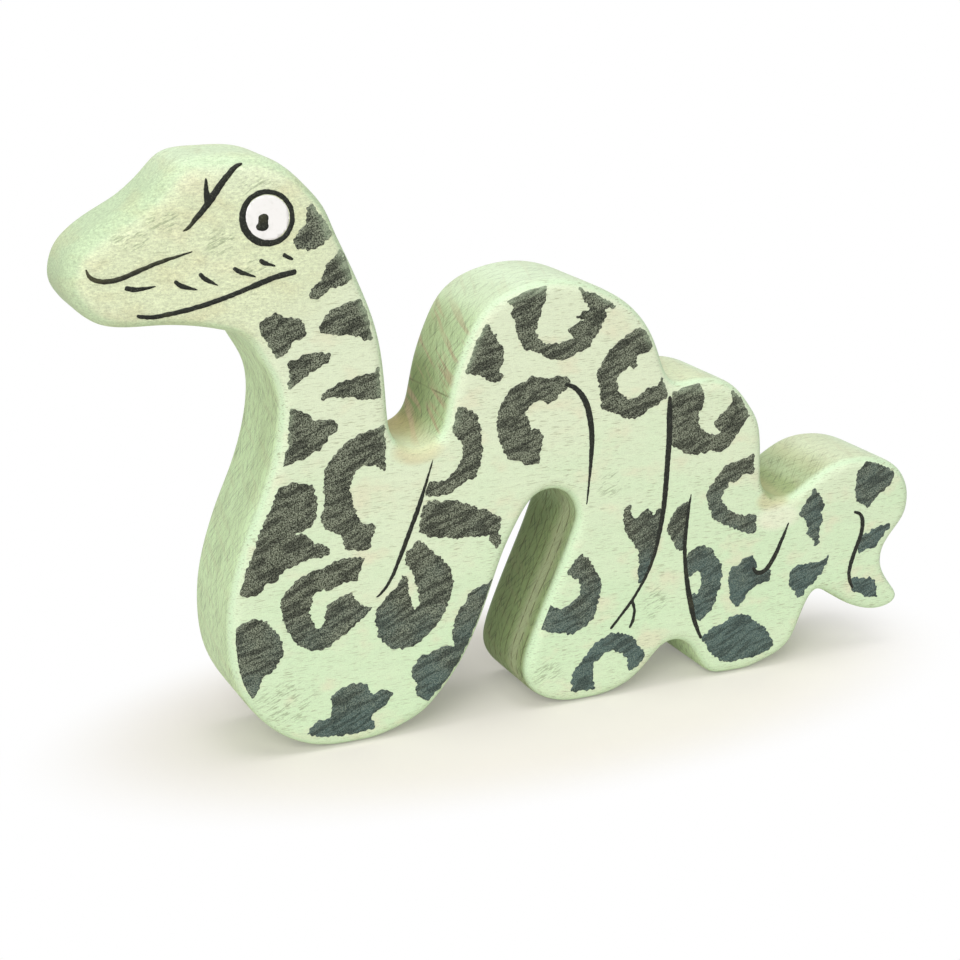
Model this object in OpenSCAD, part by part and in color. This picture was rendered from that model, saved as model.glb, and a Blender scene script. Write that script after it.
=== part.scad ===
// Wooden snake toy: one sawn and rounded board, with its marks printed on both faces.
// The toy lies along X with the head at -X, its faces look along -Y and +Y, and it stands on Z = 0.
// Outlines and marks are drawn once, on a sawing pattern seen from the left face: [x, z] in mm.

/* [Board] */
// Thickness of the board
board_t = 20; // [14:0.5:28]
// Radius of the rounded edge on the body
edge_r = 2; // [1:0.25:3]
// Radius of the rounded edge at the snout
snout_edge_r = 3.5; // [2:0.25:4]
// Radius of the rounded edge at the lower lip of the tail
lip_edge_r = 1; // [0.5:0.1:1.5]
// How far each face of the head comes in at the snout
head_taper = 2; // [1:0.25:4]

/* [Lengths along the toy] */
// From the snout back to the throat
snout_len = 28.2; // [24:0.2:34]
// From the throat back to the valley behind the neck
neck_len = 29; // [25:0.5:36]
// From the valley behind the neck to the cleft behind the hump
hump_len = 49; // [44:0.5:58]
// From the cleft behind the hump to the valley in front of the tail
rear_len = 23.8; // [20:0.2:30]
// From the valley in front of the tail to the end of the tail
tail_len = 29.2; // [26:0.2:36]

/* [Heights above the floor] */
// Top of the arch between the front coil and the middle foot
arch_h = 41.1; // [36:0.1:46]
// Top of the rear hump
rear_hump_h = 58.3; // [52:0.1:66]
// Top of the hump
hump_h = 78.7; // [72:0.1:88]
// Crown of the head
crown_h = 102.7; // [96:0.1:114]

/* [Print] */
// Thickness of a printed or painted film
print_t = 0.15; // [0.1:0.05:0.4]
// Gap left between two films that meet
print_gap = 0.1; // [0.05:0.05:0.2]
// Widest part of a drawn line
line_w = 1.1; // [0.6:0.1:1.6]
// Diameter of the white of the eye, on a head of the usual size
eye_d = 7.2; // [5:0.2:8]
// Width of the dark ring round the eye
eye_ring_w = 0.8; // [0.4:0.1:1.2]

/* [Hidden] */
$fn = 64;

LEFT = -1;
RIGHT = 1;

// Places on the pattern that the lengths and heights above are measured between
PATTERN_X = [-73.2, -45, -16, 33, 56.8, 86];
PATTERN_Z = [0, 41.1, 58.3, 78.7, 102.7];

// The same places on the board, with X counted from the snout
BOARD_X = [
    0,
    snout_len,
    snout_len + neck_len,
    snout_len + neck_len + hump_len,
    snout_len + neck_len + hump_len + rear_len,
    snout_len + neck_len + hump_len + rear_len + tail_len
];
BOARD_Z = [0, arch_h, rear_hump_h, hump_h, crown_h];

// Value v, counted on the places "from", carried over to the places "to"
function carried(v, from, to, i = 0) =
    (v <= from[i + 1] || i == len(from) - 2)
        ? to[i] + (v - from[i]) * (to[i + 1] - to[i]) / (from[i + 1] - from[i])
        : carried(v, from, to, i + 1);

function on_pattern(p) = [carried(p[0], PATTERN_X, BOARD_X), carried(p[1], PATTERN_Z, BOARD_Z)];

// How much the board is stretched at a place on the pattern
function stretch(v, from, to) = carried(v + 0.5, from, to) - carried(v - 0.5, from, to);

// Sawn outline, clockwise from under the snout, over the back and home along the floor
SNOUT = [[-71.8, 80.8], [-73.2, 83.8], [-71.8, 89], [-66.9, 92.9], [-61.7, 95.5], [-57.5, 98.8]];
CROWN = [[-53.7, 102.4], [-47.7, 102.7], [-41.7, 102.4], [-37.2, 100.5], [-33.5, 96.9], [-30.9, 93.6]];
NAPE = [[-29.3, 89.5]];
NECK_BACK = [[-26.9, 84.4], [-23.1, 75.3], [-21.5, 68], [-20.9, 60.5]];
NECK_VALLEY = [[-20.4, 55.4], [-18.6, 52.9], [-16, 51.9], [-13.4, 52.3], [-11.3, 54.2]];
HUMP = [
    [-10.3, 57.6], [-9.1, 63.2], [-6.8, 69.3], [-4.1, 74], [-0.2, 76.8], [4.4, 78.2], [9.3, 78.7],
    [14.3, 78], [19, 76.1], [23.9, 73.3], [27.7, 69.4], [30, 65.2], [31.5, 61], [33, 58.6]
];
REAR_HUMP = [
    [35.4, 58], [39.4, 58.3], [43.2, 57.5], [46.5, 55.7], [49.3, 52.5], [51.8, 48.4], [52.5, 43], [52.8, 37]
];
TAIL_VALLEY = [[54.3, 34.7], [56.2, 33.6], [58.4, 33.5]];
TAIL = [
    [61.2, 34.7], [64.7, 36.9], [68.4, 38.6], [72.4, 39.2], [76.8, 38.8], [80.7, 37.5], [83.6, 35.5],
    [85.5, 32.4], [86, 29.2], [85.3, 25.8], [82.6, 22.5], [80.7, 19.8], [80.5, 16.6], [82, 13.6],
    [83.8, 11.2], [84.2, 9.7], [83.2, 8.3], [80.5, 7.6], [77.2, 8], [73.3, 9.6], [69.4, 12.2], [66, 13.7]
];
REAR_FOOT = [
    [64.1, 11.5], [62.5, 7.8], [60.8, 4.2], [57.8, 2], [53.8, 0.7], [50.8, 0], [45.8, 0], [42.8, 0.9],
    [40.7, 3.8], [38.8, 6.7]
];
SMALL_ARCH = [[36.8, 8.1], [34.3, 8.3], [32, 7.1]];
MIDDLE_FOOT = [
    [29.4, 4.4], [26.4, 2], [22.8, 0.6], [19.3, 0], [14.3, 0], [10.2, 0.9], [6.8, 2.9], [4.8, 5.6],
    [4.3, 8.8], [5.6, 13.5], [8.7, 21], [11.8, 28]
];
ARCH = [
    [13.6, 32.6], [14.6, 35.6], [14, 38.2], [12.4, 40.2], [9.8, 41.1], [7, 40.6], [4.8, 38.5], [2.6, 34.8],
    [0.2, 30]
];
FRONT_COIL = [
    [-2.6, 22.1], [-5.3, 15.7], [-8, 10.9], [-11.2, 6.8], [-14.6, 3.5], [-18.6, 1.6], [-22.6, 0.4],
    [-25.7, 0], [-30.7, 0], [-34.9, 0.6], [-38.6, 2.1], [-42, 4.4], [-45.3, 7.9], [-48.1, 12.3],
    [-49.7, 17], [-50.2, 22.5], [-49.8, 28.6], [-48.3, 34.8], [-46, 41.2], [-43.2, 47.4], [-41, 54],
    [-39.9, 60.5], [-40.4, 65.8], [-42.8, 70.2]
];
THROAT = [[-45, 73.7]];
CHIN = [[-49.1, 75.2], [-53.7, 76.1], [-58.3, 76.5], [-63.3, 76.5], [-67.3, 77.1], [-70, 78.8]];

KNOTS = concat(
    SNOUT, CROWN, NAPE, NECK_BACK, NECK_VALLEY, HUMP, REAR_HUMP, TAIL_VALLEY, TAIL, REAR_FOOT,
    SMALL_ARCH, MIDDLE_FOOT, ARCH, FRONT_COIL, THROAT, CHIN
);

// Smooth curve from b to c, with a before it and d after it
function curve(a, b, c, d, t) =
    b + (c - a) * t / 2 + (2 * a - 5 * b + 4 * c - d) * t * t / 2
    + (3 * b - a - 3 * c + d) * t * t * t / 2;

OUTLINE_STEPS = 2;
KNOT_COUNT = len(KNOTS);

function knot(i) = on_pattern(KNOTS[(i + KNOT_COUNT) % KNOT_COUNT]);

// Nothing of the outline goes below the floor, which leaves a flat under each foot
function above_floor(p) = [p[0], max(0, p[1])];

FROM_SNOUT = [
    for (i = [0 : KNOT_COUNT - 1], k = [0 : OUTLINE_STEPS - 1])
        above_floor(curve(knot(i - 1), knot(i), knot(i + 1), knot(i + 2), k / OUTLINE_STEPS))
];
COUNT = len(FROM_SNOUT);

// The origin is halfway along the toy
MIDDLE_X = (min([for (p = FROM_SNOUT) p[0]]) + max([for (p = FROM_SNOUT) p[0]])) / 2;
OUTLINE = [for (p = FROM_SNOUT) [p[0] - MIDDLE_X, p[1]]];

function on_board(p) = on_pattern(p) - [MIDDLE_X, 0];
function unit(v) = v / norm(v);
function across(v) = [v[1], -v[0]];
function wrapped(i) = (i + COUNT) % COUNT;

// Direction into the wood, square to the outline
INWARD = [for (i = [0 : COUNT - 1]) across(unit(OUTLINE[wrapped(i + 1)] - OUTLINE[wrapped(i - 1)]))];

// The head's faces taper from a crease that runs from the throat to the nape
NAPE_I = OUTLINE_STEPS * (len(SNOUT) + len(CROWN));
THROAT_I = OUTLINE_STEPS * (KNOT_COUNT - len(CHIN) - 1);
CREASE_THROAT = OUTLINE[THROAT_I] + edge_r * INWARD[THROAT_I];
CREASE_NAPE = OUTLINE[NAPE_I] + edge_r * INWARD[NAPE_I];
CREASE = unit(CREASE_NAPE - CREASE_THROAT);
SNOUT_TIP_I = OUTLINE_STEPS;

function past_crease(p) = -(p - CREASE_THROAT) * across(CREASE);
function in_head(i) = i < NAPE_I || i > THROAT_I;

HEAD_REACH = past_crease(OUTLINE[SNOUT_TIP_I]);
HEAD_SLOPE = head_taper / HEAD_REACH;

// The lip of the tail is narrow, so its edge is less rounded than the rest
LIP_KNOT = 15;
LIP_REACH = 10;
LIP_I = LIP_KNOT * OUTLINE_STEPS
    + OUTLINE_STEPS * (len(SNOUT) + len(CROWN) + len(NAPE) + len(NECK_BACK) + len(NECK_VALLEY))
    + OUTLINE_STEPS * (len(HUMP) + len(REAR_HUMP) + len(TAIL_VALLEY));

function near_lip(i) = max(0, 1 - abs(i - LIP_I) / LIP_REACH);

// A head made flatter has a tighter snout, which leaves room for a smaller rounded edge
SNOUT_R = snout_edge_r * min(1, stretch(SNOUT[1][1], PATTERN_Z, BOARD_Z));

// Half the thickness of the board at a point, and the radius of its rounded edge
function half_t(p, i) = board_t / 2 - (in_head(i) ? HEAD_SLOPE * max(0, past_crease(p)) : 0);
function round_r(i) = edge_r
    + (in_head(i) ? (SNOUT_R - edge_r) * max(0, past_crease(OUTLINE[i])) / HEAD_REACH : 0)
    + (lip_edge_r - edge_r) * near_lip(i);

// One ring of the rounded edge: turn 0 is the sawn side, and turn 90 is the face
function edge_point(i, turn, side) =
    let (
        r = round_r(i),
        p = OUTLINE[i] + r * (1 - cos(turn)) * INWARD[i]
    )
    [p[0], side * (half_t(p, i) - r * (1 - sin(turn))), p[1]];

EDGE_STEPS = 3;
TURNS = [for (k = [0 : EDGE_STEPS]) 90 * k / EDGE_STEPS];
RING_COUNT = 2 * len(TURNS);

RINGS = concat(
    [for (k = [EDGE_STEPS : -1 : 0], i = [0 : COUNT - 1]) edge_point(i, TURNS[k], LEFT)],
    [for (k = [0 : EDGE_STEPS], i = [0 : COUNT - 1]) edge_point(i, TURNS[k], RIGHT)]
);

EDGE_FACES = [
    for (k = [0 : RING_COUNT - 2], i = [0 : COUNT - 1])
        let (
            a = k * COUNT + i,
            b = k * COUNT + wrapped(i + 1)
        )
        each [[a, a + COUNT, b], [b, a + COUNT, b + COUNT]]
];

// The flat of the body, and the tapered flat of the head, as rings of points of one face
BODY_FLAT = [for (i = [NAPE_I : THROAT_I]) i];
HEAD_FLAT = concat([for (i = [THROAT_I : COUNT - 1]) i], [for (i = [0 : NAPE_I]) i]);
LAST_RING = (RING_COUNT - 1) * COUNT;

function flat_point(i) = OUTLINE[i] + round_r(i) * INWARD[i];

// Negative where the way from a over b to c turns right, as at every corner that stands out
function bend(a, b, c) = (b[0] - a[0]) * (c[1] - a[1]) - (b[1] - a[1]) * (c[0] - a[0]);
function within(p, a, b, c) = bend(a, b, p) <= 0 && bend(b, c, p) <= 0 && bend(c, a, p) <= 0;

// Corner i of a ring and its two neighbours
function corner(ring, i) =
    [ring[(i + len(ring) - 1) % len(ring)], ring[i], ring[(i + 1) % len(ring)]];

// A corner can be cut off where it stands out and no other point of the ring lies in its triangle
function can_cut(spots, i) =
    let (
        n = len(spots),
        a = spots[(i + n - 1) % n],
        b = spots[i],
        c = spots[(i + 1) % n]
    )
    bend(a, b, c) < 0
    && len([for (p = spots) if (p != a && p != b && p != c && within(p, a, b, c)) p]) == 0;

function next_cut(spots, i = 0) = can_cut(spots, i) ? i : next_cut(spots, i + 1);
function without(list, i) = [for (k = [0 : len(list) - 1]) if (k != i) list[k]];

// Triangles that fill a ring, made by cutting off its corners one by one
function filled(ring, spots) =
    len(ring) == 3
        ? [ring]
        : let (i = next_cut(spots))
            concat([corner(ring, i)], filled(without(ring, i), without(spots, i)));

function filled_ring(ring) = filled(ring, [for (i = ring) flat_point(i)]);
function other_side(triangle) = [for (k = [2 : -1 : 0]) triangle[k] + LAST_RING];

// Marks on the neck, from behind the eye down. The first lies on the tapered head
HEAD_BAND = [
    [-33.6, 94.6], [-32.5, 93.2], [-30.2, 89.7], [-31.8, 87.9], [-34.3, 87.1], [-36.2, 87.6], [-36.9, 88.6],
    [-36, 90.3], [-34.6, 91.3], [-34.3, 93.6]
];
NECK_BANDS = [
    [[-29, 87], [-28, 85.8], [-27, 82], [-28.4, 81], [-30.5, 80.8], [-33, 79.1], [-34.7, 79.6],
        [-33.8, 81.2], [-32.4, 82], [-31.5, 84.9], [-30.1, 85.6]],
    [[-43.2, 75.2], [-42.4, 76.6], [-40.3, 77.6], [-38.4, 76.5], [-35.9, 76.2], [-35.1, 74.1],
        [-35.5, 73.1], [-37.4, 72.6], [-38.8, 70.6], [-40.2, 69.8]],
    [[-25.7, 78.5], [-24.5, 75.8], [-23.6, 71.6], [-24.5, 71.4], [-26.8, 72.6], [-30.1, 72.9],
        [-32.6, 73.3], [-33.1, 74.7], [-31.5, 76.2], [-30.7, 77.4], [-28, 77.9]],
    [[-38.5, 69.3], [-35.9, 70.1], [-33.2, 70.4], [-31.1, 69.9], [-31.1, 68.7], [-32.8, 67.9],
        [-35.5, 66.4], [-38.2, 64.8], [-38.6, 65.4], [-38, 67]],
    [[-22.8, 67], [-22.3, 61.4], [-24.7, 61.6], [-28.8, 62.4], [-31.3, 62.4], [-33, 62.2],
        [-32.8, 63.1], [-31.5, 64.1], [-29.5, 65.1], [-26.3, 65.6], [-23.8, 66]],
    [[-38.2, 61.5], [-35.5, 60.5], [-34.2, 59.1], [-31.3, 58.8], [-29.8, 57.6], [-31.3, 56.1],
        [-33, 54.1], [-35.5, 53], [-37.9, 52.1], [-39.9, 51.7], [-38.9, 54.7], [-38.5, 58.4]],
    [[-21.8, 56.8], [-24.7, 56.3], [-27.2, 55.5], [-29.2, 54.3], [-31.1, 52.6], [-32.4, 50.5],
        [-32.8, 48], [-32.8, 44.7], [-33.4, 42.2], [-33.2, 40.5], [-31.3, 39.3], [-29.7, 38.4],
        [-29.2, 35.9], [-25.1, 35.4], [-23.6, 39.8], [-26.3, 40.3], [-27.2, 42.2], [-27.8, 44.3],
        [-28.2, 46.3], [-27.7, 48.8], [-25.9, 50.4], [-23.8, 50.1], [-21.8, 48.8]]
];

// Marks on the front coil
COIL_BLOTCHES = [
    [[-40.6, 48.3], [-38, 48.8], [-34.9, 48.2], [-34.2, 45.9], [-34.2, 42.2], [-35.5, 40.5], [-38, 40],
        [-36.3, 39.8], [-34.7, 38], [-32.6, 37.2], [-32.2, 35.7], [-33.4, 35.1], [-36.3, 35.1],
        [-39.7, 34.3], [-41.3, 32.4], [-43.8, 31.6], [-44.7, 30.3], [-46.7, 30.2], [-48, 30.7],
        [-46.3, 35.5], [-44.4, 40.5], [-42.2, 44.9]],
    [[-25.7, 34.3], [-29.2, 34.5], [-33, 33.6], [-36.7, 32.6], [-39.7, 30.5], [-41.1, 28], [-40.7, 25.5],
        [-39.7, 22.6], [-38, 20.1], [-35.5, 18.6], [-33, 18.8], [-30.5, 20.5], [-27.4, 22.4], [-25.9, 23.8],
        [-24.5, 24.9], [-25.9, 25.1], [-27.4, 26.3], [-28.2, 28.2], [-30.9, 27.4], [-32.8, 26.3],
        [-33, 24.7], [-33.8, 22.6], [-34.7, 22.4], [-35.7, 24.7], [-35.9, 26.3], [-35.3, 27.8],
        [-35.5, 28.8], [-33.4, 29.5], [-32.6, 29.1], [-29.7, 30.2], [-27.2, 30.1], [-26.3, 32.8]],
    [[-48.8, 25.1], [-48, 25.7], [-45.1, 26], [-43.4, 25.3], [-41.7, 23], [-40.8, 21.3],
        [-40.7, 19.3], [-41.7, 18], [-42.6, 16.3], [-44.5, 15.5], [-45.5, 13], [-46.4, 11.8],
        [-47.6, 14.3], [-48.4, 17.2], [-48.8, 20.9]],
    [[-32.6, 9.9], [-31.3, 10.7], [-28.2, 11.7], [-25.9, 10.7], [-24.9, 8.8], [-22.6, 9.5],
        [-21.1, 8.5], [-22.2, 7], [-24.7, 5.3], [-25.1, 4.5], [-24.5, 3.8], [-24.7, 2.5],
        [-26.7, 2.2], [-30.9, 2.2], [-34.7, 2.8], [-37, 3.7], [-35.9, 5.1], [-34.7, 5.9],
        [-32.8, 6.1], [-32.2, 8]],
    [[-16.3, 35.9], [-14.7, 34.7], [-12.2, 32.2], [-10.3, 30.3], [-9.6, 27.6], [-9.9, 25.1], [-10.9, 22.6],
        [-12.8, 19.7], [-16.3, 17], [-18.8, 16.3], [-20.9, 16.6], [-23, 18.4], [-24, 20.9],
        [-24, 24.3], [-22.6, 25.9], [-19.9, 28.2], [-19.2, 30.1], [-18.2, 29.7], [-17.8, 25.9],
        [-17, 23], [-15.9, 24.3], [-16.3, 27.2], [-17, 30.1], [-18.6, 31.6], [-18, 33.8]],
    [[-1.8, 26.6], [-4.2, 25.7], [-6.3, 25.1], [-7.4, 23], [-9.2, 20.5], [-9.9, 17.2], [-9.5, 15.3],
        [-10.9, 15.7], [-13.8, 14.9], [-16.3, 14.1], [-17.6, 12], [-17.7, 10.9], [-16.3, 9.5],
        [-17, 8.4], [-16.3, 6.8], [-14.4, 5.7], [-11.2, 8.6], [-8.2, 12.4], [-5.7, 17.4], [-3.6, 22.4]]
];

// Marks on the hump
HUMP_BLOTCHES = [
    [[-8.4, 58.7], [-6.9, 57.9], [-5, 56.7], [-4.5, 54.2], [-4.4, 52.5], [-3.9, 50.4], [-4.2, 48.3],
        [-5, 46.7], [-5.5, 45.4], [-7.7, 44.8], [-10.2, 43.2], [-14.2, 43.3], [-14.4, 44],
        [-13.6, 45.8], [-11.1, 45.8], [-9, 47.5], [-7.8, 49.6], [-7.7, 51.7], [-9.4, 53.6], [-9.6, 54.2],
        [-9.1, 55.8], [-8.9, 57.5]],
    [[-14.5, 42.4], [-10.9, 42.2], [-8, 41.6], [-5.3, 40.5], [-4.9, 39.5], [-3.8, 39.8], [-2.2, 38.8],
        [-0.5, 37.6], [-0.6, 35.9], [-1.1, 35.1], [-0.4, 33.8], [-0.6, 32.8], [-1.3, 32.1], [-2.6, 33.4],
        [-2.8, 34.7], [-5.9, 35.1], [-8.8, 34.9], [-11.3, 35.7], [-13.8, 36], [-16, 37.2],
        [-15.7, 38.8]],
    [[-3.2, 72.4], [-2.3, 70.8], [-1.4, 70.2], [-1.3, 68.6], [0, 67.5], [-0.2, 65.4], [-0.9, 64],
        [-0.3, 62.9], [-0.7, 62.1], [-3, 62.3], [-4.4, 63.3], [-7.2, 64.2], [-5.2, 69.2]],
    [[0.4, 75.6], [4.3, 77.1], [8.1, 77.7], [7.7, 76.1], [7, 73.8], [6.2, 71.3], [5.8, 70.2], [6.6, 68.6],
        [7.9, 67.6], [11.4, 67.7], [13.1, 68.3], [11.7, 69.7], [13.5, 70.6], [15.2, 71.1], [13.4, 71.8],
        [16, 72.9], [15, 74.6], [14, 76.8], [17.7, 75.2], [21.3, 73.1], [20.6, 72.6], [18.9, 72.7],
        [19.5, 71.7], [18.5, 70.2], [18.3, 69.2], [16.6, 67.7], [16.4, 66.5], [13.7, 65.4],
        [11.8, 64.5], [9.3, 64.7], [6.8, 66.1], [5.2, 66.5], [3.3, 67.7], [2.7, 69.2], [1.8, 70.4],
        [2, 72.1], [1.4, 73.6], [1.8, 74.6]],
    [[25.8, 69], [27.5, 67.7], [28.7, 65], [27, 64], [25.6, 64.2], [25.2, 63.1], [25.8, 61.9],
        [25, 61.4], [23.7, 62.1], [22.2, 61.1], [21.4, 59.6], [22.2, 57.5], [23.9, 56.1], [26, 56.3],
        [27.9, 57.7], [29.7, 57.7], [30.6, 59.6], [31.4, 57.5], [31.5, 55.8], [30.4, 54.8], [28.9, 54.4],
        [26.8, 52.7], [24.1, 52.3], [21.8, 53.6], [19.7, 54.4], [18.5, 55.2], [18.5, 57.5], [17.9, 59.6],
        [17.7, 61.7], [19.3, 64.2], [20.2, 65.4], [22.2, 66.9], [24.3, 68.1]],
    [[-1.3, 55.8], [-0.7, 57.9], [1, 60.4], [3.1, 61.6], [5.2, 62.1], [7.7, 61.7], [11.4, 61.5],
        [12.7, 60], [11, 59.2], [9.7, 57.5], [8.1, 57.1], [6.8, 57.9], [5.2, 57.3], [3.7, 56.1],
        [4.7, 54.2], [5.2, 52.7], [6.6, 52.5], [7.6, 51.3], [7, 49.2], [6.6, 46.5], [4.3, 46.5],
        [3.1, 47.3], [1, 47.9], [0, 49.6], [-0.9, 51.7], [-1.3, 53.8]]
];

// Marks on the middle foot
MIDDLE_BLOTCHES = [
    [[15.2, 28.8], [16.7, 27.5], [18.6, 24.6], [19.3, 22.5], [19, 19.6], [17.7, 15.8], [16.1, 14.6],
        [14, 13.6], [11.9, 14.4], [9.4, 14.4], [6.9, 15.8], [6.8, 16.5], [8.6, 20.3], [10.7, 19],
        [12.3, 19.2], [14.4, 20.4], [15.5, 22.1], [14.8, 23.8], [12.3, 25.2], [14, 27.5]],
    [[13.6, 2.3], [13.4, 4.2], [14, 6.3], [16.1, 8.8], [18.2, 11.1], [20.7, 12.3], [23.2, 12.3],
        [25.7, 11.5], [26.9, 9.6], [28.6, 7.4], [27.8, 6], [25.9, 4.2], [25.2, 4.8], [25, 6.3],
        [24, 8.1], [21.9, 9.1], [19.8, 8.6], [18, 6.7], [18, 4.2], [18.3, 2.3]],
    [[23.4, 33.8], [23.6, 35.8], [24.8, 36.8], [25.2, 35.4], [25.3, 34], [26.9, 34.2], [28.6, 35.4],
        [29.4, 34], [31, 34.8], [31.3, 33.8], [31, 31.3], [30, 27.9], [28.4, 23.8], [27.3, 21.5],
        [26.7, 21.9], [26.9, 24.6], [26.7, 27.5], [25.2, 29.6], [24, 31.7]]
];

// Marks on the rear hump and the rear foot
REAR_BLOTCHES = [
    [[33.1, 56.6], [35.7, 57], [38.6, 57.4], [38.8, 55.8], [39.3, 54.6], [39, 52.9], [38.2, 52.1],
        [38.4, 50], [39.8, 48.1], [41.1, 47.5], [43.2, 47.7], [41.7, 49.2], [41.7, 50.2],
        [43.2, 51.3], [44, 52.1], [45.2, 53.3], [45, 55.4], [47.3, 53.5], [49.2, 50.2], [48.2, 49.2],
        [47.1, 47.7], [46.1, 46.7], [44.8, 44.8], [42.7, 44.2], [41.1, 44.8], [39.4, 44],
        [36.9, 44.4], [34, 45.8], [33.1, 47.1], [33.1, 52.1]],
    [[50.3, 42.9], [50.5, 39.2], [48.2, 39.4], [46.9, 37.9], [45.2, 37.9], [44, 36.3], [43.8, 34.6],
        [45.2, 32.7], [47.7, 31.5], [51.3, 31.1], [51.3, 27.6], [49.4, 27.7], [47.7, 28.3], [46.1, 29.2],
        [43.2, 30.8], [41.9, 31.7], [41.1, 33.8], [40.6, 36.3], [41.1, 37.9], [43.2, 40],
        [44, 41.3], [46.5, 41.9], [48.6, 42.3]],
    [[35.9, 35.6], [36.9, 35], [36.5, 31.3], [36.1, 26.5], [34.4, 26.9], [33.8, 28.8], [32.3, 30.4],
        [33, 32.5], [34.4, 34.6]],
    [[37.3, 25.4], [38.6, 26.5], [40.2, 26.7], [42.3, 25.6], [43.2, 23.8], [44.4, 22.5], [44.5, 19.6],
        [43.6, 16.3], [42.3, 13.3], [40.2, 12.1], [39.2, 12.9], [38.2, 17.1], [39.2, 17.5],
        [40, 19.2], [39.8, 21.3], [39, 22.1], [37.3, 21.1], [37.1, 23.8]],
    [[46.2, 21.1], [47.5, 21.7], [49, 22.9], [50.6, 23.3], [51.2, 22.5], [51.7, 20.4], [52.9, 19.2],
        [54.4, 19.6], [55.2, 19], [54.6, 17.9], [52.5, 17.1], [50.4, 16.3], [49.4, 14.6], [47.9, 13.3],
        [46.9, 14], [46.2, 16.3], [45.8, 18.8]],
    [[40.8, 8.3], [42.5, 10], [45.4, 10.6], [46.7, 11.7], [49, 12], [51, 11.3], [52.1, 9.6], [54.2, 8.6],
        [55.2, 6.7], [56.3, 5.2], [56.2, 4.2], [54.6, 3.5], [52.1, 2.7], [48.3, 2.3], [45.8, 2.7],
        [43.7, 3.8], [42.2, 5.6]]
];

// Marks on the tail
TAIL_BLOTCHES = [
    [[63.9, 34.6], [65, 33.1], [66.3, 31.1], [65.5, 29.6], [66, 27.7], [65.2, 26.3], [65.4, 23.1],
        [64.8, 22.9], [64, 24.4], [62.7, 25.4], [62.5, 27.5], [61.7, 29.2], [60.4, 29.4], [60.8, 30.6],
        [62.5, 32.5]],
    [[59.2, 18.8], [60, 19.4], [61.7, 19.9], [64.2, 19.6], [66.7, 19.8], [67.9, 21.1], [67.5, 19.6],
        [66.5, 17.5], [64.8, 15.8], [63, 14.3], [61.9, 13], [61.2, 13.2], [60.4, 14.6], [59, 16.1]],
    [[75.2, 38.1], [77.5, 37.6], [79.8, 36.6], [82, 34.8], [81, 34], [81, 32.9], [78.3, 31.3],
        [76.9, 30], [76, 28.8], [74.2, 30.2], [73.1, 31.3], [72.9, 35.8], [73.3, 36.9], [74.6, 37.5]],
    [[75.4, 23.3], [77.5, 24.6], [81, 25.3], [81.5, 24.5], [79.9, 22.8], [78.6, 20.9], [76.7, 20.8],
        [74.8, 20.1], [74.6, 21.3]],
    [[73.3, 14.8], [74.4, 15.2], [76.7, 14.6], [77.5, 15], [78.8, 13.6], [79.2, 12.7], [79, 11.7],
        [79.5, 10.5], [77.5, 10.7], [75, 12], [73.5, 13]]
];

// Lines drawn with a brush: [x, z, share of the widest line]
NECK_LINE = [
    [-13.2, 49.9, 0.15], [-14.5, 45.9, 0.4], [-15.9, 41.8, 0.7], [-17.6, 37.6, 0.75], [-19.7, 32.6, 0.6],
    [-21.3, 29.3, 0.5], [-23, 27.2, 0.4], [-24, 26.6, 0.2]
];
HUMP_LINE = [
    [11.5, 60.2, 0.6], [13.6, 59.2, 0.8], [15.5, 56.7, 1], [16.5, 53.3, 1], [16.9, 50, 0.9],
    [16.8, 46.3, 0.7], [16.5, 42.1, 0.4], [16.1, 37.7, 0.2]
];
CLEFT_LINE = [
    [32.3, 55.8, 0.5], [32.3, 52.1, 1], [32.4, 47.9, 1], [32.2, 43.8, 1], [32, 39.6, 0.9],
    [31.7, 35.4, 0.9], [31.1, 31.3, 0.8], [30, 26.3, 0.6], [28.2, 22.1, 0.5], [25.7, 18.3, 0.5],
    [23.2, 15.4, 0.5], [21.3, 13.3, 0.4]
];
CLEFT_BRANCH = [[25.7, 18.1, 0.5], [26.2, 16.3, 0.5], [25.9, 14.2, 0.5], [25.2, 12.9, 0.4]];
REAR_LINE = [
    [37.3, 37, 0.2], [36.7, 32.9, 0.6], [36.3, 27.9, 0.7], [36.5, 23.8, 0.7], [37.1, 19.6, 0.9],
    [38, 15.4, 1], [39, 11.7, 0.8], [40.5, 8.3, 0.5]
];
TAIL_HOOK = [
    [58.5, 28.6, 0.2], [57.3, 25.8, 0.6], [56, 22.9, 0.8], [54.4, 20.4, 0.8], [52.9, 19.4, 0.8],
    [51.7, 19.8, 0.7], [51, 20.8, 0.5]
];
TAIL_LINE = [
    [72.9, 28.6, 0.4], [74.4, 27.9, 0.6], [75, 26.3, 0.8], [74.8, 23.8, 0.8], [73.7, 20.8, 0.8],
    [72.9, 18.3, 0.8], [72.6, 16.3, 0.7], [72.9, 14.6, 0.6], [73.7, 13.1, 0.4]
];
COIL_LINES = [NECK_LINE, HUMP_LINE, CLEFT_LINE, CLEFT_BRANCH, REAR_LINE, TAIL_HOOK, TAIL_LINE];

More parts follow.
